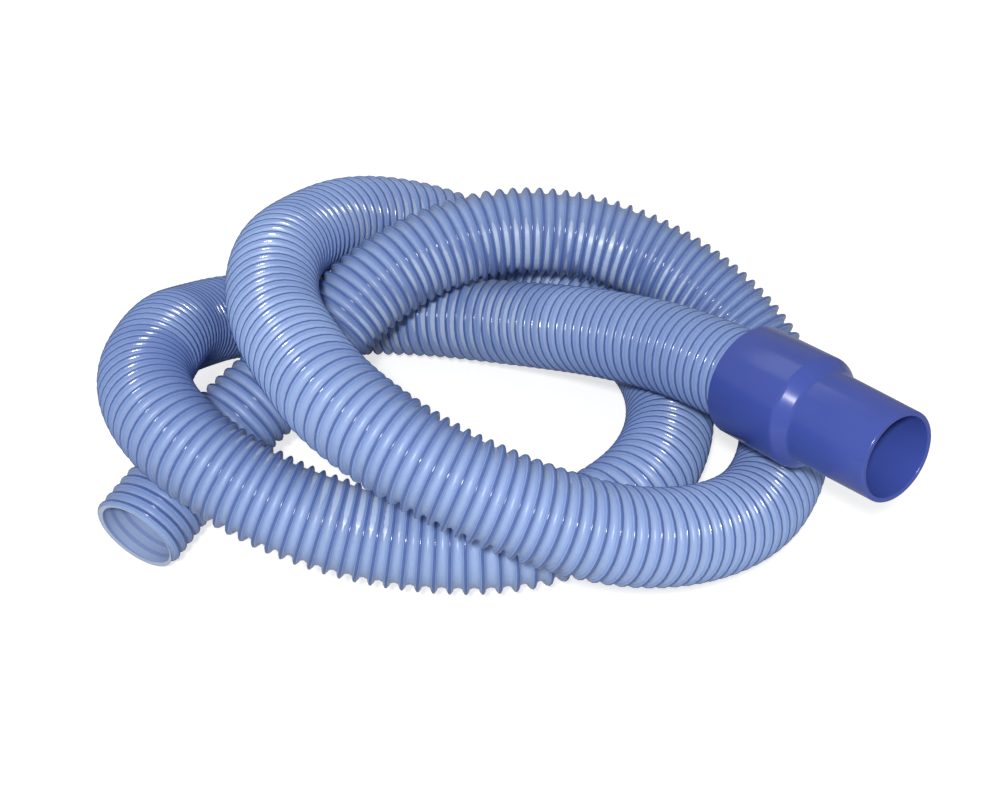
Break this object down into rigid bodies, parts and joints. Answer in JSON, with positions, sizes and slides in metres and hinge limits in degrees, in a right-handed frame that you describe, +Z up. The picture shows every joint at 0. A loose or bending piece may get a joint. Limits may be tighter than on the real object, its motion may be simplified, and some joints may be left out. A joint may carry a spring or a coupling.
{
  "type": "pool cleaner hose",
  "caption": "Flexible spiral-wound pool cleaner hose lying in loops, with a stepped cuff that swivels on one end and a plain cut at the other.",
  "frame": {"origin": "on the ground, under the middle of the whole part's box", "axes": "+Z up; -Y is the side that the cuff's mouth and the cut end point to; +X is towards the cuff"},
  "size_m": [0.3785, 0.3058, 0.1322],
  "materials": {
    "hose": "translucent soft plastic, spiral-wound",
    "insert": "moulded, semi-gloss",
    "cuff": "moulded, semi-gloss"
  },
  "bodies": {
    "hose": {"hose": "hose", "swivel_insert": "insert"},
    "cuff": {"cuff_shell": "cuff"}
  },
  "joints": [
    {"name": "cuff_swivel", "type": "hinge", "parent": "hose", "child": "cuff", "pos_m": [0.11965, -0.0477, 0.08451], "axis": [0.5864, -0.7819, 0.2118], "continuous": true}
  ]
}
